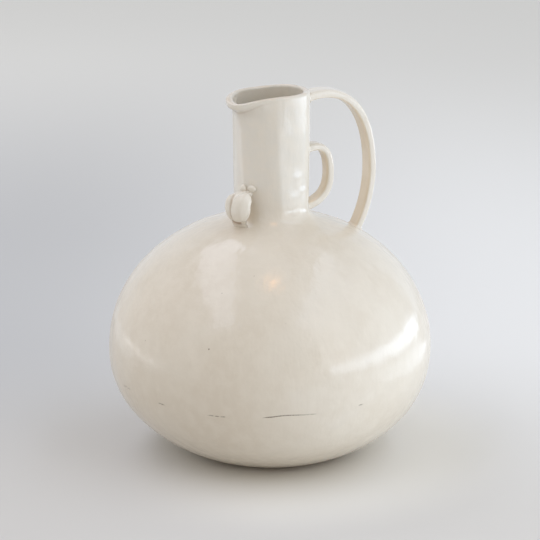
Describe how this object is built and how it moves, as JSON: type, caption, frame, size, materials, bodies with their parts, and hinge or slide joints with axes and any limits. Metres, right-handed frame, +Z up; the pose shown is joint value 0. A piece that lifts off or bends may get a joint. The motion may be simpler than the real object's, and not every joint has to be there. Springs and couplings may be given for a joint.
{
  "type": "ceramic jug",
  "caption": "Squat round glazed ceramic jug with a straight neck, a pulled pouring lip, a large strap handle from rim to shoulder and loop lugs on the neck.",
  "frame": {"origin": "centre of the flat foot, on the standing surface", "axes": "+Z up along the body's axis, +X towards the main handle, the pouring lip near -X"},
  "size_m": [0.268, 0.268, 0.3042],
  "materials": {
    "glaze": "satin-gloss off-white glaze",
    "strap_glaze": "satin-gloss off-white glaze",
    "inner_glaze": "satin glaze",
    "bare_clay": "matte unglazed"
  },
  "bodies": {
    "root": {"floor_slab": "bare_clay", "lower_bowl": "glaze", "upper_dome": "glaze", "seam_coil": "inner_glaze", "neck_tube": "glaze", "neck_collar": "glaze", "pouring_lip": "glaze", "main_handle": "strap_glaze", "handle_upper_wad": "strap_glaze", "handle_lower_wad": "strap_glaze", "side_lug": "strap_glaze", "side_lug_upper_wad": "strap_glaze", "side_lug_lower_wad": "strap_glaze", "front_lug": "strap_glaze", "front_lug_left_pellet": "strap_glaze", "front_lug_right_pellet": "strap_glaze"}
  },
  "joints": []
}
